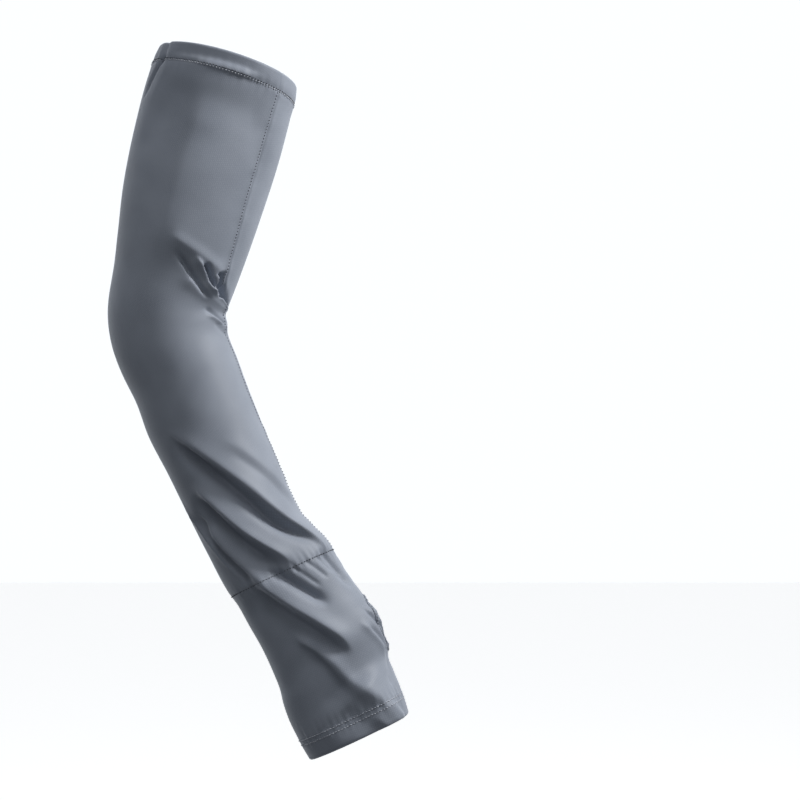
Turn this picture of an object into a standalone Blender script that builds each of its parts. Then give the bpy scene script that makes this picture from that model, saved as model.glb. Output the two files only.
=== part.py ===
"""Stretch arm sleeve with a hand cover and a thumb hole, held in the form of a slightly bent arm.

Metres, +Z up. The origin is the middle of the opening for the upper arm. The sleeve hangs
down from it, the elbow points to -X, the hand end swings out to +X, and -Y is its near side.

A place on the sleeve is given by its way along the arm and its angle round it: 0 at the
crook and thumb side, 90 on the near side, 180 at the elbow side, 270 on the far side.
"""

import math
from collections import namedtuple

import bmesh
import bpy
import numpy as np

# Driving sizes: lengths along the arm
UPPER_ARM_LENGTH = 0.185
FOREARM_LENGTH = 0.188
HAND_LENGTH = 0.122
ELBOW_BEND_LENGTH = 0.068
BAND_HEIGHT = 0.0125
HEM_HEIGHT = 0.016

# Driving sizes: widths of the sleeve
UPPER_ARM_WIDTH = 0.102
ELBOW_WIDTH = 0.083
FOREARM_WIDTH = 0.076
WRIST_WIDTH = 0.072
HAND_WIDTH = 0.081

# Driving sizes: pose of the arm, in degrees
UPPER_ARM_LEAN = 13.0
FOREARM_LEAN = 25.3
ARM_TIP = 5.0
TOP_RIM_TILT = 2.5
TOP_RIM_TILT_LENGTH = 0.075

# Driving sizes: cloth, seams and folds
CLOTH_WALL = 0.0011
FOLDED_WALL = 0.0026
SEAM_LAP = 0.005
SEAM_RISE = 0.0025
SEAM_DIP = 0.0005
SEAM_DIP_WIDTH = 0.0035
FOLD_HEIGHT = 0.004
FOLD_WIDTH = 0.0065

# Driving sizes: thumb hole
THUMB_HOLE_LENGTH = 0.036
THUMB_HOLE_WIDTH = 0.022
THUMB_HOLE_SHARE = 0.47
THUMB_HOLE_ANGLE = -8.0
THUMB_HEM_WIDTH = 0.0036
THUMB_HEM_WALL = 0.001

# Clearances
GAP = 0.0003
THUMB_GAP = 0.00035

# Mesh steps
FINE_ANGLE = 8.0
COARSE_ANGLE_COUNT = 13
FINE_FROM, FINE_TO = -32.0, 144.0
THUMB_STEPS = 30

WRIST_SEAM = UPPER_ARM_LENGTH + FOREARM_LENGTH
SLEEVE_LENGTH = WRIST_SEAM + HAND_LENGTH
HEM_SEAM = SLEEVE_LENGTH - HEM_HEIGHT
STRETCHES = {
    "upper_arm": (0.0, UPPER_ARM_LENGTH),
    "forearm": (UPPER_ARM_LENGTH, FOREARM_LENGTH),
    "hand": (WRIST_SEAM, HAND_LENGTH),
}

# Sections: shares of the width for the crook side, the elbow side and half the thickness
Section = namedtuple("Section", "stretch share width front back depth")
SECTIONS = (
    Section("upper_arm", 0.00, UPPER_ARM_WIDTH, 0.475, 0.496, 0.480),
    Section("upper_arm", 0.05, UPPER_ARM_WIDTH, 0.485, 0.514, 0.480),
    Section("upper_arm", 0.12, UPPER_ARM_WIDTH, 0.482, 0.526, 0.475),
    Section("upper_arm", 0.30, UPPER_ARM_WIDTH, 0.475, 0.532, 0.460),
    Section("upper_arm", 0.55, UPPER_ARM_WIDTH, 0.440, 0.510, 0.460),
    Section("upper_arm", 0.72, UPPER_ARM_WIDTH, 0.408, 0.470, 0.450),
    Section("upper_arm", 0.87, ELBOW_WIDTH, 0.460, 0.540, 0.510),
    Section("upper_arm", 0.97, ELBOW_WIDTH, 0.433, 0.542, 0.500),
    Section("forearm", 0.03, ELBOW_WIDTH, 0.440, 0.534, 0.490),
    Section("forearm", 0.10, ELBOW_WIDTH, 0.420, 0.518, 0.480),
    Section("forearm", 0.20, FOREARM_WIDTH, 0.448, 0.550, 0.510),
    Section("forearm", 0.34, FOREARM_WIDTH, 0.420, 0.576, 0.500),
    Section("forearm", 0.50, FOREARM_WIDTH, 0.398, 0.558, 0.480),
    Section("forearm", 0.64, WRIST_WIDTH, 0.404, 0.580, 0.480),
    Section("forearm", 0.82, WRIST_WIDTH, 0.396, 0.563, 0.470),
    Section("forearm", 0.98, WRIST_WIDTH, 0.525, 0.536, 0.450),
    Section("hand", 0.05, HAND_WIDTH, 0.476, 0.452, 0.400),
    Section("hand", 0.18, HAND_WIDTH, 0.501, 0.437, 0.390),
    Section("hand", 0.34, HAND_WIDTH, 0.551, 0.417, 0.380),
    Section("hand", 0.48, HAND_WIDTH, 0.576, 0.417, 0.380),
    Section("hand", 0.57, HAND_WIDTH, 0.551, 0.424, 0.380),
    Section("hand", 0.66, HAND_WIDTH, 0.511, 0.450, 0.380),
    Section("hand", 0.74, HAND_WIDTH, 0.501, 0.462, 0.380),
    Section("hand", 0.87, HAND_WIDTH, 0.491, 0.457, 0.380),
    Section("hand", 1.00, HAND_WIDTH, 0.466, 0.440, 0.370),
)

# Folds: straight runs from (start, start_angle) to (end, end_angle), with the height and the
# width on the crook side and on the elbow side as shares of FOLD_HEIGHT and FOLD_WIDTH
Fold = namedtuple("Fold", "stretch start start_angle end end_angle height ahead behind")
FOLDS = (
    # Biceps swell and the hollow above it
    Fold("upper_arm", 0.08, 88, 0.50, 132, 0.75, 3.6, 1.8),
    Fold("upper_arm", 0.10, 118, 0.34, 158, -0.70, 1.8, 1.8),
    Fold("upper_arm", 0.08, 130, 0.26, 172, -0.70, 0.8, 1.0),
    # Creases in the crook, on the near side
    Fold("upper_arm", 0.69, 94, 0.79, 40, 0.60, 0.9, 1.0),
    Fold("upper_arm", 0.745, 88, 0.905, 30, -1.10, 0.8, 1.0),
    Fold("upper_arm", 0.765, 66, 0.955, 2, 1.00, 0.7, 0.7),
    Fold("upper_arm", 0.780, 44, 0.935, 6, -1.40, 0.9, 0.7),
    # Creases in the crook, on the far side
    Fold("upper_arm", 0.72, -80, 0.80, -30, 0.60, 1.0, 1.0),
    Fold("upper_arm", 0.78, -86, 0.90, -22, -0.90, 0.9, 1.0),
    Fold("upper_arm", 0.82, -58, 0.96, 2, 0.80, 0.7, 0.8),
    # Drag folds of the forearm, on the near side
    Fold("forearm", 0.46, 56, 0.84, 16, 0.55, 1.2, 1.1),
    Fold("forearm", 0.42, 104, 0.97, 16, 1.00, 1.1, 0.8),
    Fold("forearm", 0.47, 104, 0.90, 40, -0.90, 0.8, 1.3),
    Fold("forearm", 0.61, 114, 0.92, 74, 0.85, 0.9, 0.8),
    Fold("forearm", 0.65, 119, 0.95, 88, -0.95, 0.9, 1.3),
    Fold("forearm", 0.78, 129, 0.99, 107, 0.60, 0.8, 0.8),
    # Drag folds of the forearm, on the far side
    Fold("forearm", 0.40, -98, 0.92, -24, 0.80, 1.2, 1.0),
    Fold("forearm", 0.47, -104, 0.90, -44, -0.75, 0.9, 1.3),
    Fold("forearm", 0.62, -118, 0.95, -76, 0.70, 1.0, 1.0),
    # Folds of the hand cover, on the near side
    Fold("hand", 0.00, 92, 0.24, 62, -0.75, 0.9, 0.9),
    Fold("hand", 0.02, 112, 0.55, 62, 0.90, 1.3, 0.8),
    Fold("hand", 0.08, 122, 0.60, 74, -0.55, 0.9, 1.6),
    Fold("hand", 0.34, 104, 0.84, 60, 0.70, 1.0, 0.8),
    # Folds of the hand cover, on the far side
    Fold("hand", 0.04, -96, 0.50, -62, 0.70, 1.2, 1.0),
    Fold("hand", 0.36, -110, 0.82, -70, 0.55, 1.0, 1.0),
)


def smooth(share):
    share = np.clip(share, 0.0, 1.0)
    return share * share * (3 - 2 * share)


def along_at(stretch, share):
    start, length = STRETCHES[stretch]
    return start + share * length


def curve_through(knots, values, at):
    """Smooth curve through the values at the knots."""
    slopes = np.gradient(values, knots)
    index = np.clip(np.searchsorted(knots, at) - 1, 0, len(knots) - 2)
    span = knots[index + 1] - knots[index]
    share = (at - knots[index]) / span
    return (
        values[index] * (1 + 2 * share) * (1 - share) ** 2
        + values[index + 1] * share**2 * (3 - 2 * share)
        + span
        * share
        * (1 - share)
        * (slopes[index] * (1 - share) - slopes[index + 1] * share)
    )


def arm_line(count=1001):
    """Middle line of the sleeve with its directions to the crook side and the near side."""
    along = np.linspace(0, SLEEVE_LENGTH, count)
    bent = smooth((along - UPPER_ARM_LENGTH) / ELBOW_BEND_LENGTH + 0.5)
    lean = np.radians((UPPER_ARM_LEAN + FOREARM_LEAN) * bent - UPPER_ARM_LEAN)
    tip = math.radians(ARM_TIP)
    heading = np.stack(
        [np.sin(lean), 0 * lean - math.tan(tip), -np.cos(lean)], -1
    ) * math.cos(tip)
    steps = (heading[1:] + heading[:-1]) / 2 * np.diff(along)[:, None]
    middle = np.concatenate([np.zeros((1, 3)), np.cumsum(steps, 0)])
    tilt = np.radians(TOP_RIM_TILT) * (1 - smooth(along / TOP_RIM_TILT_LENGTH))
    front = np.stack([np.cos(lean - tilt), 0 * lean, np.sin(lean - tilt)], -1)
    near = np.cross(heading, front)
    near /= np.linalg.norm(near, axis=1)[:, None]
    return along, middle, front, near


ARM_LINE = arm_line()
KNOTS = np.array([along_at(row.stretch, row.share) for row in SECTIONS])


def half_sizes(along):
    """Half sizes of the section at this way along: crook side, elbow side, thickness."""
    return [
        curve_through(
            KNOTS, np.array([getattr(row, side) * row.width for row in SECTIONS]), along
        )
        for side in ("front", "back", "depth")
    ]


def fold_lift(along, angle):
    """Height of the folds over the smooth sleeve at each place."""
    lift = np.zeros(np.shape(along))
    for fold in FOLDS:
        start = along_at(fold.stretch, fold.start)
        run = along_at(fold.stretch, fold.end) - start
        reach = np.sum(half_sizes(start + run / 2)) / 3
        turn = math.radians(fold.end_angle - fold.start_angle) * reach
        off = np.radians((angle - fold.start_angle + 180) % 360 - 180) * reach
        length = math.hypot(run, turn)
        share = ((along - start) * run + off * turn) / length**2
        aside = ((along - start) * turn - off * run) / length
        to_front = aside * math.copysign(1, turn)
        width = FOLD_WIDTH * np.where(to_front < 0, fold.ahead, fold.behind)
        fade = smooth(share / 0.3) * smooth((1 - share) / 0.3)
        lift += FOLD_HEIGHT * fold.height * fade * np.exp(-((aside / width) ** 2))
    return lift


def seam_dip(along):
    """Depth of the grooves at the three seams that go round the sleeve."""
    return sum(
        SEAM_DIP * np.exp(-(((along - seam) / SEAM_DIP_WIDTH) ** 2))
        for seam in (BAND_HEIGHT, WRIST_SEAM, HEM_SEAM)
    )


def surface(along, angle, inset=0.0):
    """Points on the sleeve, and the outward direction at each."""
    along, angle = np.broadcast_arrays(np.asarray(along, float), angle)
    front_half, back_half, depth = half_sizes(along)
    half = (front_half + back_half) / 2
    shift = (front_half - back_half) / 2
    middle, front, near = (
        np.stack([np.interp(along, ARM_LINE[0], line[:, axis]) for axis in range(3)], -1)
        for line in ARM_LINE[1:]
    )
    cos, sin = np.cos(np.radians(angle)), np.sin(np.radians(angle))
    place = middle + front * (shift + half * cos)[..., None] + near * (depth * sin)[..., None]
    outward = front * (cos / half)[..., None] + near * (sin / depth)[..., None]
    outward /= np.linalg.norm(outward, axis=-1)[..., None]
    lift = fold_lift(along, angle) - seam_dip(along) - inset
    return place + outward * lift[..., None], outward


def angles_round():
    """Angles of one turn round the sleeve, closer together on the near side."""
    fine = np.arange(FINE_FROM, FINE_TO + 0.1, FINE_ANGLE)
    coarse = np.linspace(FINE_TO, FINE_FROM + 360, COARSE_ANGLE_COUNT + 2)[1:-1]
    return np.concatenate([fine, coarse])


def rows_between(start, end, step):
    count = max(1, round((end - start) / step))
    return [start + (end - start) * i / count for i in range(count)]


def knit(name, colour, roughness):
    material = bpy.data.materials.new(name)
    material.use_nodes = True
    shader = material.node_tree.nodes["Principled BSDF"]
    shader.inputs["Base Color"].default_value = (*colour, 1.0)
    shader.inputs["Roughness"].default_value = roughness
    shader.inputs["Metallic"].default_value = 0.0
    return material


def add_object(name, points, faces, material, collection):
    mesh = bpy.data.meshes.new(name)
    mesh.from_pydata([tuple(point) for point in points], [], faces)
    shape = bmesh.new()
    shape.from_mesh(mesh)
    bmesh.ops.recalc_face_normals(shape, faces=shape.faces)
    shape.to_mesh(mesh)
    shape.free()
    mesh.shade_smooth()
    obj = bpy.data.objects.new(name, mesh)
    if material:
        mesh.materials.append(material)
    collection.objects.link(obj)
    return obj


def ring_faces(rows, round_count, closed_rows):
    """Quads of a grid whose columns go round; closed_rows also joins the last row to the first."""
    faces = []
    for row in range(rows if closed_rows else rows - 1):
        below = (row + 1) % rows
        for column in range(round_count):
            following = (column + 1) % round_count
            faces.append(
                (
                    row * round_count + column,
                    row * round_count + following,
                    below * round_count + following,
                    below * round_count + column,
                )
            )
    return faces


def cloth_faces(row_count, angles):
    """Triangles of a tube, with the diagonals along the drag folds of the near and far sides."""
    faces = []
    for a, b, c, d in ring_faces(row_count, len(angles), False):
        near_side = 0 <= angles[a % len(angles)] < 180
        faces += [(a, b, d), (b, c, d)] if near_side else [(a, b, c), (a, c, d)]
    return faces


def add_panel(name, rows, insets, material, collection):
    """Cloth tube: an open surface through the rows, thickened inward."""
    angles = angles_round()
    points, _ = surface(
        np.array(rows)[:, None], angles[None, :], np.array(insets)[:, None]
    )
    faces = cloth_faces(len(rows), angles)
    panel = add_object(name, points.reshape(-1, 3), faces, material, collection)
    wall = panel.modifiers.new("wall", "SOLIDIFY")
    wall.thickness = CLOTH_WALL
    wall.offset = -1
    return panel


def add_hem(name, profile, material, collection):
    """Folded edge: a closed profile of (along, inset) carried round the sleeve."""
    angles = angles_round()
    along = np.array([point[0] for point in profile])[:, None]
    inset = np.array([point[1] for point in profile])[:, None]
    points, _ = surface(along, angles[None, :], inset)
    faces = ring_faces(len(profile), len(angles), True)
    return add_object(name, points.reshape(-1, 3), faces, material, collection)


def folded_profile(rim, seam):
    """Profile of a hem folded double at the rim, with its inner leg lapping past the seam."""
    to_seam = math.copysign(1, seam - rim)
    inner_leg = CLOTH_WALL + GAP
    return [
        (seam, 0.0),
        (rim + (seam - rim) * 0.5, -0.0004),
        (rim + to_seam * 0.0012, 0.0),
        (rim, 0.0008),
        (rim, FOLDED_WALL - 0.0008),
        (rim + to_seam * 0.0012, FOLDED_WALL),
        (seam + to_seam * SEAM_LAP, FOLDED_WALL),
        (seam + to_seam * SEAM_LAP, inner_leg),
        (seam, inner_leg),
    ]


def thumb_points(out, lift):
    """Loop round the thumb hole, out from its edge by this much and lifted off the cloth."""
    turn = np.arange(THUMB_STEPS) * 2 * math.pi / THUMB_STEPS
    along = along_at("hand", THUMB_HOLE_SHARE) + (THUMB_HOLE_LENGTH / 2 + out) * np.cos(turn)
    aside = (THUMB_HOLE_WIDTH / 2 + out) * np.sin(turn)
    reach = half_sizes(along)[2]
    place, outward = surface(along, THUMB_HOLE_ANGLE + np.degrees(aside / reach))
    return place + outward * lift


def add_thumb_cutter(collection):
    """Plug through the cloth, as wide as the cut edge of the thumb hole."""
    cut = THUMB_HEM_WALL + THUMB_GAP
    loops = [thumb_points(cut, 0.006), thumb_points(cut, -0.010)]
    ends = [loop.mean(0, keepdims=True) for loop in loops]
    points = np.concatenate(loops + ends)
    faces = ring_faces(2, THUMB_STEPS, False)
    for row, end in ((0, 2 * THUMB_STEPS), (1, 2 * THUMB_STEPS + 1)):
        for column in range(THUMB_STEPS):
            following = row * THUMB_STEPS + (column + 1) % THUMB_STEPS
            faces.append((row * THUMB_STEPS + column, following, end))
    cutter = add_object("thumb_cutter", points, faces, None, collection)
    cutter.hide_render = True
    cutter.display_type = "WIRE"
    return cutter


def add_thumb_hem(material, collection):
    """Turned edge that clasps the cloth round the thumb hole."""
    over = THUMB_GAP
    under = -CLOTH_WALL - THUMB_GAP
    wall = THUMB_HEM_WALL
    profile = (
        (THUMB_HEM_WIDTH, over),
        (THUMB_HEM_WIDTH, over + wall * 0.8),
        (THUMB_HEM_WIDTH * 0.6, over + wall),
        (wall * 0.4, over + wall * 0.6),
        (0.0, (over + under) / 2),
        (wall * 0.4, under - wall * 0.6),
        (THUMB_HEM_WIDTH * 0.6, under - wall),
        (THUMB_HEM_WIDTH, under - wall * 0.8),
        (THUMB_HEM_WIDTH, under),
        (wall, under),
        (wall, over),
    )
    points = np.concatenate([thumb_points(out, lift) for out, lift in profile])
    faces = ring_faces(len(profile), THUMB_STEPS, True)
    return add_object("thumb_hem", points, faces, material, collection)


def build():
    for obj in list(bpy.data.objects):
        bpy.data.objects.remove(obj, do_unlink=True)
    sleeve = bpy.data.collections.new("arm_sleeve")
    cutters = bpy.data.collections.new("cutters")
    bpy.context.scene.collection.children.link(sleeve)
    bpy.context.scene.collection.children.link(cutters)

    panel_knit = knit("sleeve_knit", (0.30, 0.33, 0.38), 0.75)
    hem_knit = knit("hem_knit", (0.29, 0.32, 0.37), 0.80)

    add_hem("top_band", folded_profile(0.0, BAND_HEIGHT), hem_knit, sleeve)

    above_crook = along_at("upper_arm", 0.70)
    below_crook = along_at("forearm", 0.04)
    below_elbow = along_at("forearm", 0.20)
    wrinkled = along_at("forearm", 0.42)
    arm_panels = {
        "upper_arm_panel": [
            BAND_HEIGHT + GAP,
            BAND_HEIGHT + SEAM_LAP,
            *rows_between(BAND_HEIGHT + 2 * SEAM_LAP, above_crook, 0.013),
            above_crook - GAP,
        ],
        "elbow_panel": [
            *rows_between(above_crook, below_crook, 0.005),
            *rows_between(below_crook, below_elbow, 0.012),
            below_elbow - GAP,
        ],
        "forearm_panel": [
            *rows_between(below_elbow, wrinkled, 0.012),
            *rows_between(wrinkled, WRIST_SEAM - SEAM_LAP, 0.0072),
            WRIST_SEAM - SEAM_LAP,
            WRIST_SEAM,
        ],
    }
    for name, rows in arm_panels.items():
        add_panel(name, rows, [0.0] * len(rows), panel_knit, sleeve)

    hand_rows = [
        WRIST_SEAM - SEAM_LAP,
        WRIST_SEAM + GAP,
        *rows_between(WRIST_SEAM + GAP + SEAM_RISE, HEM_SEAM - SEAM_LAP, 0.0062),
        HEM_SEAM - SEAM_LAP,
        HEM_SEAM - GAP,
    ]
    lapped = CLOTH_WALL + GAP
    hand_insets = [lapped, lapped] + [0.0] * (len(hand_rows) - 2)
    hand = add_panel("hand_panel", hand_rows, hand_insets, panel_knit, sleeve)
    cut = hand.modifiers.new("thumb hole", "BOOLEAN")
    cut.operation = "DIFFERENCE"
    cut.solver = "EXACT"
    cut.object = add_thumb_cutter(cutters)

    add_hem("hand_hem", folded_profile(SLEEVE_LENGTH, HEM_SEAM), hem_knit, sleeve)
    add_thumb_hem(hem_knit, sleeve)


build()
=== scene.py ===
"""Arm sleeve in stretch knit: the finished cloth, seams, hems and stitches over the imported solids.

A place on the sleeve is given by its way along the arm and its angle round it: 0 at the
crook and thumb side, 90 on the near side, 180 at the elbow side, 270 on the far side.
"""

import math
from collections import namedtuple

import bmesh
import bpy
import numpy as np
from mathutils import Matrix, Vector


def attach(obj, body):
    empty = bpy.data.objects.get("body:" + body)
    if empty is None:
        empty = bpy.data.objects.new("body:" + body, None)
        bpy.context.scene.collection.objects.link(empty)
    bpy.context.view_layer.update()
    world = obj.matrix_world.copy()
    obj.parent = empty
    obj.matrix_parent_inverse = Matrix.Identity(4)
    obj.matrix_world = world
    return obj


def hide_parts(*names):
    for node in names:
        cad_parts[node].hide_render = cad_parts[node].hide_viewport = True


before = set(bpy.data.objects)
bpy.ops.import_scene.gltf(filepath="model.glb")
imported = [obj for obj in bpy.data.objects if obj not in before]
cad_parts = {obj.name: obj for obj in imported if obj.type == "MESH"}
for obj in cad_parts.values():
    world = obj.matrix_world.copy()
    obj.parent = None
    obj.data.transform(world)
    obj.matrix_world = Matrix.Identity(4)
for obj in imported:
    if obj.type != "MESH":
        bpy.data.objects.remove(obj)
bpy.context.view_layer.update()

# Sizes of the solids, in metres and degrees
UPPER_ARM_LENGTH = 0.185
FOREARM_LENGTH = 0.188
HAND_LENGTH = 0.122
ELBOW_BEND_LENGTH = 0.068
BAND_HEIGHT = 0.0125
HEM_HEIGHT = 0.016
UPPER_ARM_WIDTH = 0.102
ELBOW_WIDTH = 0.083
FOREARM_WIDTH = 0.076
WRIST_WIDTH = 0.072
HAND_WIDTH = 0.081
UPPER_ARM_LEAN = 13.0
FOREARM_LEAN = 25.3
ARM_TIP = 5.0
TOP_RIM_TILT = 2.5
TOP_RIM_TILT_LENGTH = 0.075
CLOTH_WALL = 0.0011
FOLDED_WALL = 0.0026
SEAM_LAP = 0.005
GAP = 0.0003
FOLD_HEIGHT = 0.004
FOLD_WIDTH = 0.0065
THUMB_HOLE_LENGTH = 0.036
THUMB_HOLE_WIDTH = 0.022
THUMB_HOLE_SHARE = 0.47
THUMB_HOLE_ANGLE = -8.0

# Turned edge of the thumb hole, finer than in the solids
THUMB_HEM_WIDTH = 0.0032
THUMB_HEM_WALL = 0.0007
THUMB_GAP = 0.0001

# Grid of the cloth: steps along the arm, small at seams and creases, and columns round it
CALM_STEP = 0.003
FINE_STEP = 0.0005
FINE_REACH = 0.003
EDGE_STEP = 0.00008
ROW_STEPS = (  # from, to and step
    (0.125, 0.195, 0.0009),
    (0.245, 0.373, 0.0016),
    (0.373, 0.480, 0.0012),
)
NEAR_COLUMNS = 116
FAR_COLUMNS = 60
NEAR_TURN = 158.0
SEAM_COLUMNS = 14
THUMB_STEPS = 96
MEAN_RADIUS = 0.04

# Folds: how round a crisp crest is and how fast it falls, and the shares over which a fold
# starts and ends
CRISP_ROUNDING = 0.15
CRISP_FALL = 1.9
FOLD_START_FADE = 0.2
FOLD_END_FADE = 0.25

# Seams and edges
SEAM_DIP_WIDTH = 0.0018
VISIBLE_GAP = 0.00005
PUCKER_HEIGHT = 0.00016
PUCKER_LENGTH = 0.0052
PUCKER_REACH = 0.006
LONG_SEAM_DEPTH = 0.00045
LONG_SEAM_WIDTH = 0.0007
LONG_SEAM_RIDGE = 0.00025
LONG_SEAM_ALLOWANCE = 0.0032
LONG_SEAM_FADE = 0.004
LONG_SEAM_WAVES = (0.0115, 0.0173)
FOLDED_PUFF = 0.0002
THUMB_PLUG_REACH = 0.012
THUMB_EDGE_GIRTH = 0.095
THUMB_GATHERS = ((0.00012, 17, 0), (0.00008, 29, 1))  # height, count and phase

# Stitches, and the points of the lines that they follow
STITCH_PITCH = 0.0022
STITCH_LENGTH = 0.0015
THREAD_RADIUS = 0.00032
SEAM_STITCH_LENGTH = 0.0010
SEAM_THREAD_RADIUS = 0.00042
COVER_STITCH_OFFSET = 0.0011
COVER_STITCH_LIFT = 0.0001
HEM_STITCH_OFFSETS = (0.0012, 0.0046)
HEM_STITCH_LIFT = 0.00015
LONG_STITCH_OFFSET = 0.0013
LONG_STITCH_TOP_MARGIN = 0.002
LONG_STITCH_WRIST_MARGIN = 0.001
THUMB_STITCH_SHARE = 0.78
THUMB_STITCH_LIFT_SHARE = 0.5
ROUND_LINE_POINTS = 1441
LONG_LINE_POINTS = 1200
THUMB_LINE_POINTS = 721

# Colours: light yarn and dark yarn of each knit, and the threads; the near-black thread is painted
# shade
KNIT_COLOURS = ((0.303, 0.336, 0.402), (0.200, 0.226, 0.277))
HEM_COLOURS = ((0.293, 0.325, 0.389), (0.192, 0.217, 0.267))
THREAD_COLOUR = (0.36, 0.39, 0.45)
PALE_THREAD_COLOUR = (0.60, 0.63, 0.70)
# Painted shade: near-black thread that stands in for the shade in the needle holes and seam grooves
PAINTED_SHADE_THREAD_COLOUR = (0.075, 0.085, 0.105)
THREAD_SHADE = 0.72
KNIT_ROUGHNESS = 0.50
HEM_ROUGHNESS = 0.53
KNIT_GLOSS_SPREAD = 0.06
WHITE = (1.0, 1.0, 1.0)

# Stage
PICTURE_WIDTH = 0.56
SENSOR_WIDTH = 36.0
CAMERA_DISTANCE = 1.3
CAMERA_X = 0.119
MIDDLE = (0.02, 0.0, -0.2324)
FLOOR_Z = -0.95
FLOOR_SIZE = 12.0
FLOOR_COLOUR = (0.80, 0.81, 0.82)
FLOOR_GLOW = 0.62
SKY_COLOUR = (0.94, 0.97, 1.0)
AMBIENT = 0.12
BACKLIGHT = 1.05
BACKLIGHT_FROM = 0.10
BACKLIGHT_FULL = 0.60
Lamp = namedtuple("Lamp", "name direction distance size power colour")
LAMPS = (
    Lamp("key", (0.74, -0.12, 0.66), 1.5, 0.5, 21.0, (1.0, 0.99, 0.97)),
    Lamp("front", (0.50, -0.87, 0.05), 1.8, 0.9, 2.6, WHITE),
    Lamp("top", (-0.25, -0.43, 0.87), 1.6, 0.6, 5.6, WHITE),
)

ARM_NODES = ["upper_arm_panel", "elbow_panel", "forearm_panel"]

WRIST_SEAM = UPPER_ARM_LENGTH + FOREARM_LENGTH
SLEEVE_LENGTH = WRIST_SEAM + HAND_LENGTH
HEM_SEAM = SLEEVE_LENGTH - HEM_HEIGHT
STRETCHES = {
    "upper_arm": (0.0, UPPER_ARM_LENGTH),
    "forearm": (UPPER_ARM_LENGTH, FOREARM_LENGTH),
    "hand": (WRIST_SEAM, HAND_LENGTH),
}

# Seams round the sleeve: where they are and how deep the cloth dips there
SEAM_DIPS = ((BAND_HEIGHT, 0.0003), (WRIST_SEAM, 0.00012), (HEM_SEAM, 0.0))

# Sections: shares of the width for the crook side, the elbow side and half the thickness
Section = namedtuple("Section", "stretch share width front back depth")
SECTIONS = (
    Section("upper_arm", 0.00, UPPER_ARM_WIDTH, 0.475, 0.496, 0.480),
    Section("upper_arm", 0.05, UPPER_ARM_WIDTH, 0.485, 0.514, 0.480),
    Section("upper_arm", 0.12, UPPER_ARM_WIDTH, 0.482, 0.526, 0.475),
    Section("upper_arm", 0.30, UPPER_ARM_WIDTH, 0.475, 0.532, 0.460),
    Section("upper_arm", 0.55, UPPER_ARM_WIDTH, 0.440, 0.510, 0.460),
    Section("upper_arm", 0.72, UPPER_ARM_WIDTH, 0.408, 0.470, 0.450),
    Section("upper_arm", 0.87, ELBOW_WIDTH, 0.460, 0.540, 0.510),
    Section("upper_arm", 0.97, ELBOW_WIDTH, 0.433, 0.542, 0.500),
    Section("forearm", 0.03, ELBOW_WIDTH, 0.440, 0.534, 0.490),
    Section("forearm", 0.10, ELBOW_WIDTH, 0.420, 0.518, 0.480),
    Section("forearm", 0.20, FOREARM_WIDTH, 0.448, 0.550, 0.510),
    Section("forearm", 0.34, FOREARM_WIDTH, 0.420, 0.576, 0.500),
    Section("forearm", 0.50, FOREARM_WIDTH, 0.398, 0.558, 0.480),
    Section("forearm", 0.64, WRIST_WIDTH, 0.404, 0.580, 0.480),
    Section("forearm", 0.82, WRIST_WIDTH, 0.396, 0.563, 0.470),
    Section("forearm", 0.98, WRIST_WIDTH, 0.525, 0.536, 0.450),
    Section("hand", 0.05, HAND_WIDTH, 0.476, 0.452, 0.400),
    Section("hand", 0.18, HAND_WIDTH, 0.501, 0.437, 0.390),
    Section("hand", 0.34, HAND_WIDTH, 0.551, 0.417, 0.380),
    Section("hand", 0.48, HAND_WIDTH, 0.576, 0.417, 0.380),
    Section("hand", 0.57, HAND_WIDTH, 0.551, 0.424, 0.380),
    Section("hand", 0.66, HAND_WIDTH, 0.511, 0.450, 0.380),
    Section("hand", 0.74, HAND_WIDTH, 0.501, 0.462, 0.380),
    Section("hand", 0.87, HAND_WIDTH, 0.491, 0.457, 0.380),
    Section("hand", 1.00, HAND_WIDTH, 0.466, 0.440, 0.370),
)

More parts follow.
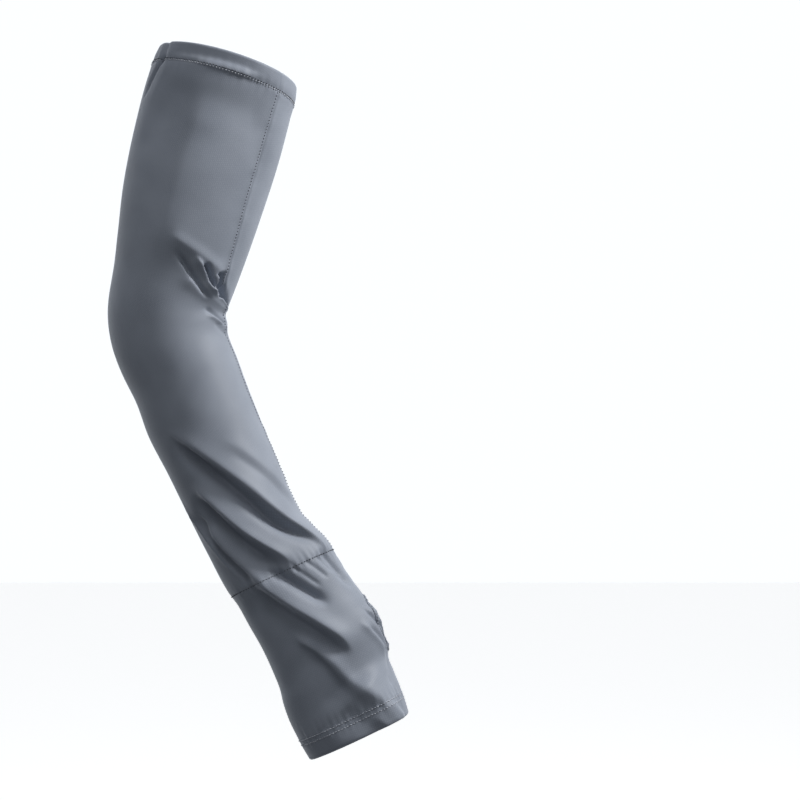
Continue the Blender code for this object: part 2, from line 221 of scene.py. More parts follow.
# Folds: each runs from (start, start_angle) to (end, end_angle). Its height is a share of
# FOLD_HEIGHT, its widths towards the top rim and towards the hand are shares of FOLD_WIDTH,
# and crisp sharpens the crest.
Fold = namedtuple(
    "Fold", "stretch start start_angle end end_angle height rim_side hand_side crisp"
)
FOLDS = (
    # Band at the top rim, and the roll of cloth under its stitches
    Fold("upper_arm", 0.070, 112, 0.065, 56, 0.26, 0.34, 0.20, 0.2),
    Fold("upper_arm", 0.043, 136, 0.036, 50, -0.32, 0.90, 0.32, 0.0),
    Fold("upper_arm", 0.088, 104, 0.082, 44, -0.10, 0.30, 0.60, 0.2),
    # Biceps swell, the hollow above it and the drag lines at the band's back corner
    Fold("upper_arm", 0.16, 92, 0.84, 98, 0.90, 1.8, 4.5, 0.0),
    Fold("upper_arm", 0.12, 112, 0.46, 146, -0.45, 1.8, 2.0, 0.0),
    Fold("upper_arm", 0.050, 143, 0.21, 158, -0.90, 0.30, 0.32, 0.5),
    Fold("upper_arm", 0.075, 132, 0.24, 146, 0.10, 0.60, 0.40, 0.3),
    Fold("upper_arm", -0.020, 147, 0.100, 143, -0.62, 0.42, 0.52, 0.2),
    Fold("upper_arm", 0.200, 30, 0.320, 150, -0.65, 3.60, 3.60, 0.0),
    # Creases in the crook, on the near side
    Fold("upper_arm", 0.705, 98, 0.802, 30, 0.55, 0.80, 1.00, 0.3),
    Fold("upper_arm", 0.755, 88, 0.915, 42, -0.80, 0.24, 0.26, 0.2),
    Fold("upper_arm", 0.830, 80, 0.965, 6, 0.40, 0.60, 0.90, 0.1),
    Fold("upper_arm", 0.755, 70, 0.895, 34, 0.75, 0.20, 0.70, 0.7),
    Fold("upper_arm", 0.830, 55, 0.962, -5, 0.75, 0.20, 0.70, 0.7),
    Fold("upper_arm", 0.772, 60, 0.862, 41, -2.10, 0.26, 0.20, 0.2),
    Fold("upper_arm", 0.796, 42, 0.866, 42, 0.80, 0.22, 0.22, 0.5),
    Fold("upper_arm", 0.782, 41, 0.892, 29, -3.10, 0.58, 0.26, 0.1),
    Fold("upper_arm", 0.835, 37, 0.955, -4, -3.10, 0.56, 0.24, 0.1),
    Fold("forearm", -0.050, 46, 0.070, 8, -0.35, 0.40, 0.40, 0.3),
    Fold("forearm", -0.010, 42, 0.110, 0, 0.40, 0.45, 0.40, 0.4),
    Fold("forearm", 0.040, 34, 0.150, -2, -0.28, 0.40, 0.40, 0.3),
    # Creases in the crook, on the far side
    Fold("upper_arm", 0.72, -80, 0.80, -30, 0.60, 1.00, 0.80, 0.3),
    Fold("upper_arm", 0.77, -88, 0.91, -24, -0.90, 0.70, 0.90, 0.3),
    Fold("upper_arm", 0.80, -66, 0.94, -10, 0.60, 0.60, 0.70, 0.4),
    Fold("upper_arm", 0.79, -46, 0.91, -12, -0.60, 0.70, 0.60, 0.2),
    # Drag folds of the forearm, on the near side
    Fold("forearm", 0.46, 78, 0.84, -6, 0.30, 1.20, 0.80, 0.3),
    Fold("forearm", 0.52, 74, 0.80, 16, -0.20, 0.60, 0.60, 0.1),
    Fold("forearm", 0.36, 124, 1.02, 16, 1.45, 1.60, 0.34, 0.85),
    Fold("forearm", 0.39, 125, 0.97, 30, -1.80, 0.50, 1.10, 0.2),
    Fold("forearm", 0.57, 126, 1.02, 66, 1.15, 0.90, 0.50, 0.6),
    Fold("forearm", 0.61, 130, 1.00, 81, -1.45, 0.55, 1.30, 0.2),
    Fold("forearm", 0.72, 138, 1.04, 104, 0.95, 0.90, 0.50, 0.4),
    Fold("forearm", 0.66, 146, 1.02, 113, -0.80, 0.50, 0.90, 0.2),
    Fold("forearm", 0.60, 166, 1.00, 124, 0.35, 0.30, 0.30, 0.5),
    # Drag folds of the forearm, on the far side
    Fold("forearm", 0.40, -98, 0.92, -24, 0.80, 1.10, 0.80, 0.4),
    Fold("forearm", 0.47, -104, 0.90, -44, -0.80, 0.70, 1.20, 0.2),
    Fold("forearm", 0.62, -118, 0.95, -76, 0.70, 1.00, 0.70, 0.4),
    Fold("forearm", 0.66, -126, 0.97, -90, -0.60, 0.70, 1.10, 0.2),
    # Folds of the hand cover, on the near side
    Fold("hand", -0.06, 98, 0.28, 60, -1.20, 0.70, 0.55, 0.3),
    Fold("hand", -0.01, 74, 0.17, 56, -0.30, 0.26, 0.30, 0.4),
    Fold("hand", -0.01, 58, 0.14, 43, -0.30, 0.26, 0.30, 0.4),
    Fold("hand", -0.01, 44, 0.12, 32, -0.28, 0.26, 0.30, 0.4),
    Fold("hand", -0.01, 30, 0.16, 18, -0.26, 0.30, 0.30, 0.4),
    Fold("hand", -0.04, 34, 0.25, 17, -0.65, 0.70, 0.70, 0.1),
    Fold("hand", -0.08, 119, 0.58, 60, 1.35, 1.20, 0.60, 0.5),
    Fold("hand", -0.03, 125, 0.58, 68, -1.25, 0.50, 2.60, 0.2),
    Fold("hand", 0.31, 113, 0.93, 54, 1.05, 0.90, 0.50, 0.5),
    Fold("hand", 0.38, 112, 0.97, 50, -1.00, 0.50, 3.20, 0.1),
    # Creases that run to the thumb hole
    Fold("hand", 0.36, 29, 0.66, 1, -0.55, 0.26, 0.30, 0.6),
    Fold("hand", 0.42, 46, 0.66, 12, 0.30, 0.50, 0.45, 0.4),
    Fold("hand", 0.46, 36, 0.68, 5, -0.40, 0.26, 0.30, 0.5),
    Fold("hand", 0.82, 30, 0.66, 6, -0.28, 0.45, 0.45, 0.3),
    Fold("hand", 0.34, 8, 0.68, 8, 0.55, 2.00, 2.00, 0.0),
    # Folds of the hand cover, on the far side
    Fold("hand", 0.04, -96, 0.50, -62, 0.70, 1.10, 0.80, 0.3),
    Fold("hand", 0.10, -108, 0.54, -72, -0.50, 0.60, 1.20, 0.2),
    Fold("hand", 0.36, -110, 0.82, -70, 0.55, 1.00, 0.80, 0.3),
    # Ripples in the folded hem
    Fold("hand", 0.66, 66, 1.20, 32, 1.50, 2.00, 4.00, 0.3),
    Fold("hand", 0.80, 92, 1.06, 58, -0.50, 0.80, 1.60, 0.1),
    Fold("hand", 0.88, 56, 1.02, 40, 0.30, 0.90, 0.70, 0.2),
    Fold("hand", 0.88, 46, 1.03, 30, 0.34, 0.60, 0.50, 0.2),
    Fold("hand", 0.90, 36, 1.01, 22, -0.22, 0.50, 0.50, 0.1),
    Fold("hand", 0.92, 66, 1.05, 50, 0.30, 0.50, 0.40, 0.4),
    Fold("hand", 0.86, 116, 1.01, 104, 0.22, 0.90, 0.80, 0.1),
    Fold("hand", 0.86, -70, 1.01, -84, 0.25, 0.90, 0.80, 0.1),
)

# Path of the long seam: its angle at places along the arm
SeamPlace = namedtuple("SeamPlace", "stretch share angle")
LONG_SEAM = (
    SeamPlace("upper_arm", 0.00, 35.0),
    SeamPlace("upper_arm", 0.60, 35.0),
    SeamPlace("upper_arm", 0.80, 29.0),
    SeamPlace("upper_arm", 0.95, 13.0),
    SeamPlace("forearm", 0.12, 9.0),
    SeamPlace("forearm", 0.42, 7.0),
    SeamPlace("forearm", 0.62, -2.0),
    SeamPlace("forearm", 1.00, -6.0),
    SeamPlace("hand", 0.30, -8.0),
    SeamPlace("hand", 1.00, -8.0),
)


def smooth(share):
    share = np.clip(share, 0.0, 1.0)
    return share * share * (3 - 2 * share)


def along_at(stretch, share):
    start, length = STRETCHES[stretch]
    return start + share * length


def curve_through(knots, values, at):
    """Smooth curve through the values at the knots."""
    slopes = np.gradient(values, knots)
    index = np.clip(np.searchsorted(knots, at) - 1, 0, len(knots) - 2)
    span = knots[index + 1] - knots[index]
    share = (at - knots[index]) / span
    return (
        values[index] * (1 + 2 * share) * (1 - share) ** 2
        + values[index + 1] * share**2 * (3 - 2 * share)
        + span
        * share
        * (1 - share)
        * (slopes[index] * (1 - share) - slopes[index + 1] * share)
    )


def arm_line(count=1001):
    """Middle line of the sleeve with its directions to the crook side and the near side."""
    along = np.linspace(0, SLEEVE_LENGTH, count)
    bent = smooth((along - UPPER_ARM_LENGTH) / ELBOW_BEND_LENGTH + 0.5)
    lean = np.radians((UPPER_ARM_LEAN + FOREARM_LEAN) * bent - UPPER_ARM_LEAN)
    tip = math.radians(ARM_TIP)
    heading = np.stack(
        [np.sin(lean), 0 * lean - math.tan(tip), -np.cos(lean)], -1
    ) * math.cos(tip)
    steps = (heading[1:] + heading[:-1]) / 2 * np.diff(along)[:, None]
    middle = np.concatenate([np.zeros((1, 3)), np.cumsum(steps, 0)])
    tilt = np.radians(TOP_RIM_TILT) * (1 - smooth(along / TOP_RIM_TILT_LENGTH))
    front = np.stack([np.cos(lean - tilt), 0 * lean, np.sin(lean - tilt)], -1)
    near = np.cross(heading, front)
    near /= np.linalg.norm(near, axis=1)[:, None]
    return along, middle, front, near


ARM_LINE = arm_line()
KNOTS = np.array([along_at(row.stretch, row.share) for row in SECTIONS])
SEAM_KNOTS = np.array([along_at(row.stretch, row.share) for row in LONG_SEAM])


def half_sizes(along):
    """Half sizes of the section at this way along: crook side, elbow side, thickness."""
    return [
        curve_through(
            KNOTS, np.array([getattr(row, side) * row.width for row in SECTIONS]), along
        )
        for side in ("front", "back", "depth")
    ]


def radius_at(along):
    """Half the thickness of the sleeve, which turns a width into an angle."""
    return half_sizes(along)[2]


def seam_angle(along):
    return curve_through(SEAM_KNOTS, np.array([row.angle for row in LONG_SEAM]), along)


def angle_between(angle, other):
    return (angle - other + 180) % 360 - 180


def fold_lift(along, angle):
    """Height of the folds over the smooth sleeve at each place."""
    lift = np.zeros(np.shape(along))
    for fold in FOLDS:
        start = along_at(fold.stretch, fold.start)
        run = along_at(fold.stretch, fold.end) - start
        reach = np.sum(half_sizes(start + run / 2)) / 3
        turn = math.radians(fold.end_angle - fold.start_angle) * reach
        off = np.radians(angle_between(angle, fold.start_angle)) * reach
        length = math.hypot(run, turn)
        share = ((along - start) * run + off * turn) / length**2
        aside = ((along - start) * turn - off * run) / length
        to_hand = aside * math.copysign(1, turn)
        width = FOLD_WIDTH * np.where(to_hand < 0, fold.rim_side, fold.hand_side)
        away = np.abs(aside) / width
        crest = (1 - fold.crisp) * np.exp(-(away**2))
        fall = np.sqrt(CRISP_FALL * away**2 + CRISP_ROUNDING**2) - CRISP_ROUNDING
        crest += fold.crisp * np.exp(-fall)
        fade = smooth(share / FOLD_START_FADE) * smooth((1 - share) / FOLD_END_FADE)
        lift += FOLD_HEIGHT * fold.height * fade * crest
    return lift


def seam_relief(along, angle):
    """Grooves and puckers along the seams round the sleeve and along the arm."""
    turn = np.radians(angle)
    relief = np.zeros(np.shape(along))
    waves = round(2 * math.pi * MEAN_RADIUS / PUCKER_LENGTH)
    for number, (seam, dip) in enumerate(SEAM_DIPS):
        away = along - seam
        relief -= dip * np.exp(-((away / SEAM_DIP_WIDTH) ** 2))
        ripple = np.sin(waves * turn + number) + 0.7 * np.sin(
            (waves // 2 + 3) * turn + 2 * number
        )
        relief += PUCKER_HEIGHT * ripple * np.exp(-((away / PUCKER_REACH) ** 2))
    aside = np.radians(angle_between(angle, seam_angle(along))) * radius_at(along)
    cloth = smooth((along - BAND_HEIGHT) / LONG_SEAM_FADE) * smooth(
        (HEM_SEAM - along) / LONG_SEAM_FADE
    )
    groove = LONG_SEAM_DEPTH * np.exp(-((aside / LONG_SEAM_WIDTH) ** 2))
    ridge = LONG_SEAM_RIDGE * np.exp(-((aside / LONG_SEAM_ALLOWANCE) ** 4))
    turns = [along * 2 * math.pi / length for length in LONG_SEAM_WAVES]
    wave = np.sin(turns[0]) + np.sin(turns[1] + 1)
    sway = 0.6 * PUCKER_HEIGHT * wave * np.exp(-((aside / PUCKER_REACH) ** 2))
    return relief + cloth * (ridge - groove + sway)


def surface(along, angle, inset=0.0):
    """Points on the sleeve, and the outward direction at each."""
    along, angle = np.broadcast_arrays(np.asarray(along, float), angle)
    front_half, back_half, depth = half_sizes(along)
    half = (front_half + back_half) / 2
    shift = (front_half - back_half) / 2
    middle, front, near = (
        np.stack([np.interp(along, ARM_LINE[0], line[:, axis]) for axis in range(3)], -1)
        for line in ARM_LINE[1:]
    )
    cos, sin = np.cos(np.radians(angle)), np.sin(np.radians(angle))
    place = middle + front * (shift + half * cos)[..., None] + near * (depth * sin)[..., None]
    outward = front * (cos / half)[..., None] + near * (sin / depth)[..., None]
    outward /= np.linalg.norm(outward, axis=-1)[..., None]
    lift = fold_lift(along, angle) + seam_relief(along, angle) - inset
    return place + outward * lift[..., None], outward


def turns_from_seam():
    """Angles of one turn from the long seam, closest beside it and closer on the near side."""
    seam_side = np.linspace(0, math.degrees(FINE_REACH / MEAN_RADIUS), SEAM_COLUMNS // 2 + 1)
    near = np.linspace(seam_side[-1], NEAR_TURN, NEAR_COLUMNS + 1)
    far = np.linspace(NEAR_TURN, 360 - seam_side[-1], FAR_COLUMNS + 1)
    return np.concatenate([seam_side[:-1], near[:-1], far[:-1], 360 - seam_side[:0:-1]])


def rows_between(start, end, fine_at):
    """Places along the arm, closer near the seams in fine_at and over creases."""
    rows = [start]
    while rows[-1] < end - FINE_STEP / 2:
        here = rows[-1]
        nearest = min(abs(here - seam) for seam in fine_at)
        fitting = (size for first, last, size in ROW_STEPS if first <= here < last)
        step = next(fitting, CALM_STEP)
        if nearest < FINE_REACH + step:
            step = FINE_STEP
        rows.append(min(here + step, end))
    return np.array([start, start + EDGE_STEP, *rows[1:-1], end - EDGE_STEP, end])


def ring_faces(rows, round_count, closed_rows):
    """Quads of a grid whose columns go round; closed_rows also joins the last row to the first."""
    faces = []
    for row in range(rows if closed_rows else rows - 1):
        below = (row + 1) % rows
        for column in range(round_count):
            following = (column + 1) % round_count
            faces.append(
                (
                    row * round_count + column,
                    row * round_count + following,
                    below * round_count + following,
                    below * round_count + column,
                )
            )
    return faces


def add_mesh(name, points, faces, material):
    mesh = bpy.data.meshes.new(name)
    mesh.from_pydata([tuple(point) for point in points], [], faces)
    shape = bmesh.new()
    shape.from_mesh(mesh)
    bmesh.ops.recalc_face_normals(shape, faces=shape.faces)
    shape.to_mesh(mesh)
    shape.free()
    mesh.shade_smooth()
    obj = bpy.data.objects.new(name, mesh)
    if material:
        mesh.materials.append(material)
    bpy.context.scene.collection.objects.link(obj)
    return obj


def lay_out(obj, across, down, round_count):
    """UVs in metres of cloth: across it and down it. The last column gets the full width."""
    layer = obj.data.uv_layers.new(name="cloth")
    for polygon in obj.data.polygons:
        columns = [obj.data.loops[i].vertex_index % round_count for i in polygon.loop_indices]
        wraps = max(columns) - min(columns) > round_count / 2
        for loop_index, column in zip(polygon.loop_indices, columns):
            vertex = obj.data.loops[loop_index].vertex_index
            width = across[round_count] if wraps and column == 0 else across[column]
            layer.data[loop_index].uv = (width, down[vertex // round_count])


def finish_piece(obj, nodes):
    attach(obj, "root")
    if nodes:
        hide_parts(*nodes)
    return obj


def add_panel(name, nodes, rows, insets, material):
    """Cloth tube: a fine open surface with its columns along the seam, thickened inward."""
    turns = turns_from_seam()
    angles = seam_angle(rows)[:, None] + turns[None, :]
    points, _ = surface(rows[:, None], angles, insets[:, None])
    faces = ring_faces(len(rows), len(turns), False)
    panel = add_mesh(name, points.reshape(-1, 3), faces, material)
    across = np.radians(np.append(turns, 360.0)) * radius_at(rows.mean())
    lay_out(panel, across, rows, len(turns))
    wall = panel.modifiers.new("wall", "SOLIDIFY")
    wall.thickness = CLOTH_WALL
    wall.offset = -1
    return finish_piece(panel, nodes)


def folded_profile(rim, seam):
    """Profile of a hem folded double at the rim, with its inner leg lapping past the seam.

    Each point is a place along the arm and an inset into the sleeve.
    """
    to_seam = math.copysign(1, seam - rim)
    height = abs(seam - rim)
    inner_leg = CLOTH_WALL + GAP
    outer = [(seam, 0.0)]
    for share in (0.99, 0.93, 0.86, 0.76, 0.66, 0.56, 0.46, 0.36, 0.26, 0.18):
        swell = FOLDED_PUFF * math.sin(math.pi * (1 - share)) ** 0.8
        outer.append((rim + to_seam * height * share, -swell))
    rounding = [
        (rim + to_seam * 0.0013, -0.0001),
        (rim + to_seam * 0.0005, 0.0003),
        (rim + to_seam * 0.0001, 0.0009),
        (rim + to_seam * 0.0001, FOLDED_WALL - 0.0009),
        (rim + to_seam * 0.0005, FOLDED_WALL - 0.0003),
        (rim + to_seam * 0.0013, FOLDED_WALL),
    ]
    inner = [
        (rim + to_seam * height * share, FOLDED_WALL) for share in (0.3, 0.5, 0.7, 0.9)
    ]
    leg = [
        (seam + to_seam * SEAM_LAP, FOLDED_WALL),
        (seam + to_seam * SEAM_LAP, inner_leg),
        (seam, inner_leg),
    ]
    return outer + rounding + inner + leg


def add_hem(name, nodes, profile, material):
    """Folded edge: a closed profile of (along, inset) carried round the sleeve."""
    turns = turns_from_seam()
    along = np.array([point[0] for point in profile])
    inset = np.array([point[1] for point in profile])
    angles = seam_angle(along.mean()) + turns
    points, _ = surface(along[:, None], angles[None, :], inset[:, None])
    faces = ring_faces(len(profile), len(turns), True)
    hem = add_mesh(name, points.reshape(-1, 3), faces, material)
    across = np.radians(np.append(turns, 360.0)) * radius_at(along.mean())
    steps = np.hypot(np.diff(along), np.diff(inset))
    lay_out(hem, across, np.concatenate([[0.0], np.cumsum(steps)]), len(turns))
    return finish_piece(hem, nodes)


def thumb_places(out, lift, turn):
    """Points round the thumb hole, out from its edge by this much and lifted off the cloth."""
    along = along_at("hand", THUMB_HOLE_SHARE) + (THUMB_HOLE_LENGTH / 2 + out) * np.cos(turn)
    aside = (THUMB_HOLE_WIDTH / 2 + out) * np.sin(turn)
    angle = THUMB_HOLE_ANGLE + np.degrees(aside / radius_at(along))
    place, outward = surface(along, angle)
    return place + outward * lift, outward


def thumb_turns():
    return np.arange(THUMB_STEPS) * 2 * math.pi / THUMB_STEPS


def cut_thumb_hole(panel):
    """Cuts the thumb hole through the cloth with a plug that is removed again."""
    cut = THUMB_HEM_WALL + THUMB_GAP
    lifts = (THUMB_PLUG_REACH, -THUMB_PLUG_REACH)
    loops = [thumb_places(cut, lift, thumb_turns())[0] for lift in lifts]
    ends = [loop.mean(0, keepdims=True) for loop in loops]
    faces = ring_faces(2, THUMB_STEPS, False)
    for row in range(2):
        for column in range(THUMB_STEPS):
            following = row * THUMB_STEPS + (column + 1) % THUMB_STEPS
            faces.append((row * THUMB_STEPS + column, following, 2 * THUMB_STEPS + row))
    plug = add_mesh("thumb_plug", np.concatenate(loops + ends), faces, None)
    hole = panel.modifiers.new("thumb hole", "BOOLEAN")
    hole.operation = "DIFFERENCE"
    hole.solver = "EXACT"
    hole.object = plug
    graph = bpy.context.evaluated_depsgraph_get()
    cut_mesh = bpy.data.meshes.new_from_object(panel.evaluated_get(graph))
    panel.modifiers.clear()
    panel.data = cut_mesh
    bpy.data.objects.remove(plug)


def add_thumb_hem(material):
    """Turned edge that clasps the cloth round the thumb hole."""
    over = THUMB_GAP
    under = -CLOTH_WALL - THUMB_GAP
    wall = THUMB_HEM_WALL
    width = THUMB_HEM_WIDTH
    profile = (
        (width, over),
        (width + 0.0003, over + wall * 0.05),
        (width * 0.92, over + wall * 0.35),
        (width * 0.78, over + wall * 0.50),
        (width * 0.60, over + wall * 0.72),
        (width * 0.40, over + wall * 0.86),
        (width * 0.22, over + wall * 0.82),
        (width * 0.10, over + wall * 0.50),
        (width * 0.02, over),
        (0.0, (over + under) / 2),
        (width * 0.03, under),
        (width * 0.12, under - wall * 0.6),
        (width * 0.50, under - wall),
        (width, under - wall * 0.8),
        (width, under),
        (wall, under),
        (wall, over),
    )
    turn = thumb_turns()
    gather = sum(
        height * np.sin(count * turn + phase) for height, count, phase in THUMB_GATHERS
    )
    loops = []
    for out, lift in profile:
        place, outward = thumb_places(out, lift, turn)
        loops.append(place + outward * gather[:, None] * (lift > 0))
    faces = ring_faces(len(profile), THUMB_STEPS, True)
    hem = add_mesh("thumb_edge", np.concatenate(loops), faces, material)
    across = np.linspace(0, THUMB_EDGE_GIRTH, THUMB_STEPS + 1)
    steps = [math.hypot(b[0] - a[0], b[1] - a[1]) for a, b in zip(profile, profile[1:])]
    lay_out(hem, across, np.concatenate([[0.0], np.cumsum(steps)]), THUMB_STEPS)
    return finish_piece(hem, ["thumb_hem"])


def add_stitches(name, starts, ends, outward, material, radius=THREAD_RADIUS):
    """Row of thread stitches, each a bent bar whose ends dive into the cloth."""
    sides = 6
    shares = (0.0, 0.12, 0.35, 0.65, 0.88, 1.0)
    lifts = (-0.8, 0.2, 0.7, 0.7, 0.2, -0.8)
    thick = (0.55, 0.9, 1.0, 1.0, 0.9, 0.55)
    points, faces = [], []
    for start, end, out in zip(starts, ends, outward):
        heading = (end - start) / np.linalg.norm(end - start)
        beside = np.cross(heading, out)
        first = len(points)
        for share, lift, size in zip(shares, lifts, thick):
            centre = start + (end - start) * share + out * lift * radius
            for side in range(sides):
                turn = 2 * math.pi * side / sides
                ray = out * math.cos(turn) + beside * math.sin(turn)
                points.append(centre + ray * radius * size)
        for ring in range(len(shares) - 1):
            for side in range(sides):
                a = first + ring * sides + side
                b = first + ring * sides + (side + 1) % sides
                faces.append((a, b, b + sides, a + sides))
        faces.append(tuple(first + side for side in range(sides)))
        last = first + (len(shares) - 1) * sides
        faces.append(tuple(last + side for side in reversed(range(sides))))
    return finish_piece(add_mesh(name, points, faces, material), None)


def stitch_line(place, outward, length=STITCH_LENGTH):
    """Start, end and outward direction of each stitch along a dense line on the sleeve."""
    way = np.concatenate([[0.0], np.cumsum(np.linalg.norm(np.diff(place, axis=0), axis=1))])
    count = int(way[-1] / STITCH_PITCH)
    pitch = way[-1] / count
    starts = np.arange(count) * pitch
    ends = starts + length

    def at(values, where):
        return np.stack([np.interp(where, way, values[:, axis]) for axis in range(3)], -1)

    middle = at(outward, (starts + ends) / 2)
    middle /= np.linalg.norm(middle, axis=1)[:, None]
    return at(place, starts), at(place, ends), middle


def join_lines(lines):
    return [np.concatenate(part) for part in zip(*lines)]


def round_line(along, lift=0.0, length=STITCH_LENGTH):
    angle = np.linspace(0, 360, ROUND_LINE_POINTS)
    place, outward = surface(np.full(len(angle), along), angle)
    return stitch_line(place + outward * lift, outward, length)


def set_inputs(node, inputs):
    for socket, value in inputs.items():
        node.inputs[socket].default_value = value


def add_node(tree, kind, inputs=None, **settings):
    node = tree.nodes.new(kind)
    for key, value in settings.items():
        setattr(node, key, value)
    set_inputs(node, inputs or {})
    return node


def add_ramp(tree, low, high):
    """Ramp between two ends, each a position and a colour."""
    ramp = add_node(tree, "ShaderNodeValToRGB")
    for end, (position, colour) in zip(ramp.color_ramp.elements, (low, high)):
        end.position = position
        end.color = (*colour, 1.0)
    return ramp


def add_relief(tree, shader, height, strength, distance):
    """Relief from this height for the shader."""
    relief = add_node(tree, "ShaderNodeBump", {"Strength": strength, "Distance": distance})
    tree.links.new(height, relief.inputs["Height"])
    tree.links.new(relief.outputs["Normal"], shader.inputs["Normal"])


def new_material(name, inputs):
    """New material with these numbers on its shader; returns it, its tree and its shader."""
    material = bpy.data.materials.new(name)
    material.use_nodes = True
    shader = material.node_tree.nodes["Principled BSDF"]
    set_inputs(shader, inputs)
    return material, material.node_tree, shader


def knit_material(name, colour, dark, roughness):
    """Stretch knit: fine ribs and courses in the relief, mottled yarn and a soft sheen."""
    material, tree, shader = new_material(
        name,
        {
            "Metallic": 0.0,
            "Specular IOR Level": 0.28,
            "Sheen Weight": 0.12,
            "Sheen Roughness": 0.45,
            "Sheen Tint": (0.86, 0.90, 1.0, 1.0),
        },
    )
    link = tree.links.new
    place = add_node(tree, "ShaderNodeUVMap", uv_map="cloth")
    ribs = add_node(
        tree,
        "ShaderNodeTexWave",
        {"Scale": 300.0, "Distortion": 0.6, "Detail Scale": 2.0},
        wave_type="BANDS",
        bands_direction="X",
    )
    courses = add_node(
        tree,
        "ShaderNodeTexWave",
        {"Scale": 420.0, "Distortion": 0.8},
        wave_type="BANDS",
        bands_direction="DIAGONAL",
    )
    spots = add_node(tree, "ShaderNodeTexNoise", {"Scale": 900.0, "Detail": 3.0})
    clouds = add_node(tree, "ShaderNodeTexNoise", {"Scale": 28.0, "Detail": 2.0})
    for pattern in (ribs, courses, spots, clouds):
        link(place.outputs["UV"], pattern.inputs["Vector"])

    loops = add_node(tree, "ShaderNodeMath", operation="MULTIPLY")
    link(ribs.outputs["Fac"], loops.inputs[0])
    link(courses.outputs["Fac"], loops.inputs[1])
    mottle = add_node(tree, "ShaderNodeMath", {1: 0.45}, operation="MULTIPLY_ADD")
    link(spots.outputs["Fac"], mottle.inputs[0])
    link(clouds.outputs["Fac"], mottle.inputs[2])
    weave = add_node(tree, "ShaderNodeMath", {1: 0.35}, operation="MULTIPLY_ADD")
    link(loops.outputs[0], weave.inputs[0])
    link(mottle.outputs[0], weave.inputs[2])

    tone = add_ramp(tree, (0.35, dark), (1.0, colour))
    link(weave.outputs[0], tone.inputs["Fac"])
    link(tone.outputs["Color"], shader.inputs["Base Color"])
    gloss = add_node(
        tree,
        "ShaderNodeMapRange",
        {"To Min": roughness + KNIT_GLOSS_SPREAD, "To Max": roughness - KNIT_GLOSS_SPREAD},
    )
    link(loops.outputs[0], gloss.inputs["Value"])
    link(gloss.outputs["Result"], shader.inputs["Roughness"])
    add_relief(tree, shader, weave.outputs[0], strength=0.35, distance=0.00012)
    return material


def thread_material(name, colour):
    """Stitching thread: twisted polyester, a little glossier than the knit."""
    material, tree, shader = new_material(name, {"Roughness": 0.5, "Sheen Weight": 0.2})
    link = tree.links.new
    place = add_node(tree, "ShaderNodeTexCoord")
    twist = add_node(tree, "ShaderNodeTexNoise", {"Scale": 2600.0})
    link(place.outputs["Object"], twist.inputs["Vector"])
    shade = [THREAD_SHADE * part for part in colour]
    tone = add_ramp(tree, (0.3, shade), (0.75, colour))
    link(twist.outputs["Fac"], tone.inputs["Fac"])
    link(tone.outputs["Color"], shader.inputs["Base Color"])
    add_relief(tree, shader, twist.outputs["Fac"], strength=0.4, distance=0.00008)
    return material


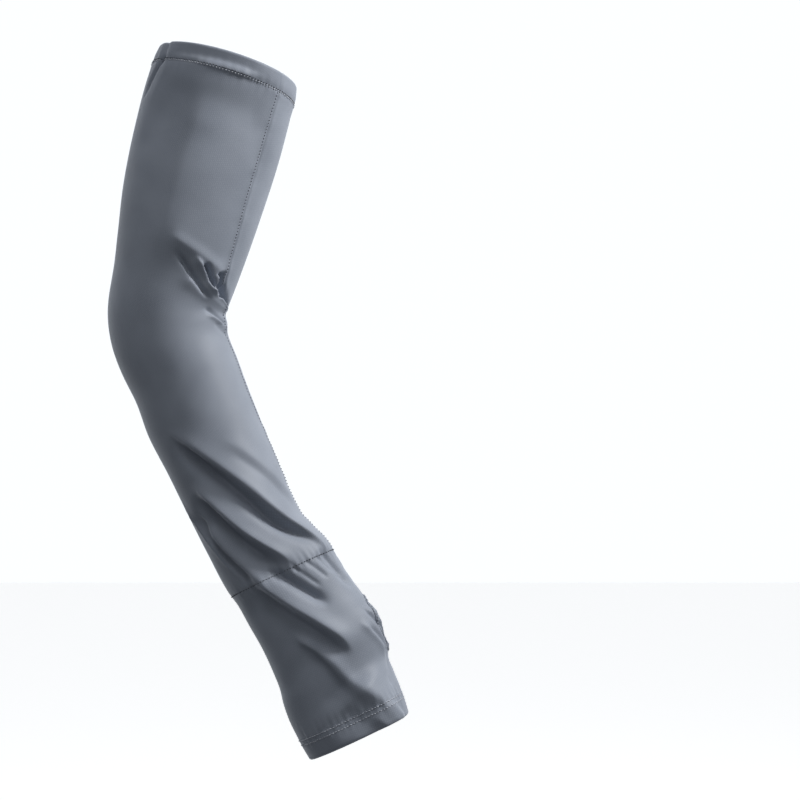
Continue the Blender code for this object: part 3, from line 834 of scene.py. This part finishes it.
def build_sleeve():
    knit = knit_material("sleeve_knit", *KNIT_COLOURS, KNIT_ROUGHNESS)
    hem = knit_material("hem_knit", *HEM_COLOURS, HEM_ROUGHNESS)
    thread = thread_material("thread", THREAD_COLOUR)
    pale_thread = thread_material("pale_thread", PALE_THREAD_COLOUR)
    # Stitch thread with painted shade: its near-black colour stands in for the shaded needle holes
    # and grooves
    painted_shade_thread = thread_material("painted_shade_thread", PAINTED_SHADE_THREAD_COLOUR)

    band = add_hem("band_cloth", ["top_band"], folded_profile(0.0, BAND_HEIGHT), hem)
    arm_rows = rows_between(BAND_HEIGHT + VISIBLE_GAP, WRIST_SEAM, (BAND_HEIGHT, WRIST_SEAM))
    arm = add_panel("arm_cloth", ARM_NODES, arm_rows, np.zeros(len(arm_rows)), knit)

    seams = (WRIST_SEAM, HEM_SEAM)
    lap_rows = rows_between(WRIST_SEAM - SEAM_LAP, WRIST_SEAM - VISIBLE_GAP, seams)
    cover_rows = rows_between(WRIST_SEAM + VISIBLE_GAP, HEM_SEAM - VISIBLE_GAP, seams)
    hand_rows = np.concatenate([lap_rows, cover_rows])
    hand_insets = np.where(hand_rows < WRIST_SEAM, CLOTH_WALL + GAP, 0.0)
    hand = add_panel("hand_cloth", ["hand_panel"], hand_rows, hand_insets, knit)
    cut_thumb_hole(hand)
    hand_hem = add_hem("hem_cloth", ["hand_hem"], folded_profile(SLEEVE_LENGTH, HEM_SEAM), hem)
    thumb_edge = add_thumb_hem(hem)

    # Band seam stitches, painted near black as the shade in the needle holes and under the band's
    # edge
    band_line = round_line(BAND_HEIGHT, 0.0, SEAM_STITCH_LENGTH)
    band_stitches = add_stitches("band_stitches", *band_line, painted_shade_thread, SEAM_THREAD_RADIUS)
    cover_line = round_line(
        BAND_HEIGHT + COVER_STITCH_OFFSET, COVER_STITCH_LIFT, SEAM_STITCH_LENGTH
    )
    cover_stitches = add_stitches(
        "band_cover_stitches", *cover_line, pale_thread, SEAM_THREAD_RADIUS
    )
    # Wrist seam stitches, painted near black as the shade in the needle holes
    wrist_line = round_line(WRIST_SEAM, 0.0, SEAM_STITCH_LENGTH)
    wrist_stitches = add_stitches("wrist_stitches", *wrist_line, painted_shade_thread, SEAM_THREAD_RADIUS)
    hem_lines = [round_line(HEM_SEAM + away, HEM_STITCH_LIFT) for away in HEM_STITCH_OFFSETS]
    hem_stitches = add_stitches("hem_stitches", *join_lines(hem_lines), pale_thread)
    # Long seam stitches, painted near black as the shade in the seam's groove
    along = np.linspace(
        BAND_HEIGHT + LONG_STITCH_TOP_MARGIN,
        WRIST_SEAM - LONG_STITCH_WRIST_MARGIN,
        LONG_LINE_POINTS,
    )
    beside_seam = seam_angle(along) + np.degrees(LONG_STITCH_OFFSET / radius_at(along))
    seam_line = stitch_line(*surface(along, beside_seam), SEAM_STITCH_LENGTH)
    seam_stitches = add_stitches("long_seam_stitches", *seam_line, painted_shade_thread)
    thumb_line = thumb_places(
        THUMB_HEM_WIDTH * THUMB_STITCH_SHARE,
        THUMB_GAP + THUMB_HEM_WALL * THUMB_STITCH_LIFT_SHARE,
        np.linspace(0, 2 * math.pi, THUMB_LINE_POINTS),
    )
    thumb_stitches = add_stitches("thumb_stitches", *stitch_line(*thumb_line), thread)


def add_floor():
    """Pale floor that is seen but throws no light up at the sleeve."""
    material, _, _ = new_material(
        "pale_floor",
        {
            "Base Color": (*FLOOR_COLOUR, 1.0),
            "Roughness": 0.9,
            "Emission Color": (*WHITE, 1.0),
            "Emission Strength": FLOOR_GLOW,
        },
    )
    side = FLOOR_SIZE / 2
    corners = [
        (-side, -side, FLOOR_Z),
        (side, -side, FLOOR_Z),
        (side, side, FLOOR_Z),
        (-side, side, FLOOR_Z),
    ]
    floor = add_mesh("floor", corners, [(0, 1, 2, 3)], material)
    floor.visible_diffuse = False
    floor.visible_glossy = False


def add_lamp(lamp):
    """Round area light that faces the middle of the sleeve."""
    light = bpy.data.lights.new(lamp.name, "AREA")
    light.shape = "DISK"
    light.size = lamp.size
    light.energy = lamp.power
    light.color = lamp.colour
    obj = bpy.data.objects.new(lamp.name, light)
    bpy.context.scene.collection.objects.link(obj)
    obj.location = Vector(MIDDLE) + Vector(lamp.direction).normalized() * lamp.distance
    facing = Vector(MIDDLE) - obj.location
    obj.rotation_euler = facing.to_track_quat("-Z", "Y").to_euler()


def add_sky():
    """World that lights the sleeve from behind and is plain and bright in the picture."""
    world = bpy.data.worlds.new("studio")
    bpy.context.scene.world = world
    world.use_nodes = True
    tree = world.node_tree
    link = tree.links.new
    sky = tree.nodes["Background"]
    set_inputs(sky, {"Color": (*SKY_COLOUR, 1.0)})
    way = add_node(tree, "ShaderNodeTexCoord")
    parts = add_node(tree, "ShaderNodeSeparateXYZ")
    behind = add_node(
        tree,
        "ShaderNodeMapRange",
        {
            "From Min": BACKLIGHT_FROM,
            "From Max": BACKLIGHT_FULL,
            "To Min": AMBIENT,
            "To Max": BACKLIGHT,
        },
        interpolation_type="SMOOTHSTEP",
    )
    seen = add_node(tree, "ShaderNodeLightPath")
    level = add_node(tree, "ShaderNodeMath", operation="MAXIMUM")
    link(way.outputs["Generated"], parts.inputs["Vector"])
    link(parts.outputs["Y"], behind.inputs["Value"])
    link(behind.outputs["Result"], level.inputs[0])
    link(seen.outputs["Is Camera Ray"], level.inputs[1])
    link(level.outputs["Value"], sky.inputs["Strength"])


def add_camera():
    """Level camera that looks along +Y, as in the photograph."""
    camera = bpy.data.cameras.new("camera")
    camera.sensor_width = SENSOR_WIDTH
    camera.lens = SENSOR_WIDTH * CAMERA_DISTANCE / PICTURE_WIDTH
    obj = bpy.data.objects.new("camera", camera)
    bpy.context.scene.collection.objects.link(obj)
    obj.location = (CAMERA_X, -CAMERA_DISTANCE, MIDDLE[2])
    obj.rotation_euler = (math.radians(90), 0, 0)
    bpy.context.scene.camera = obj


def build_stage():
    add_floor()
    for lamp in LAMPS:
        add_lamp(lamp)
    add_sky()
    add_camera()
    bpy.context.scene.view_settings.view_transform = "Standard"


build_sleeve()
build_stage()
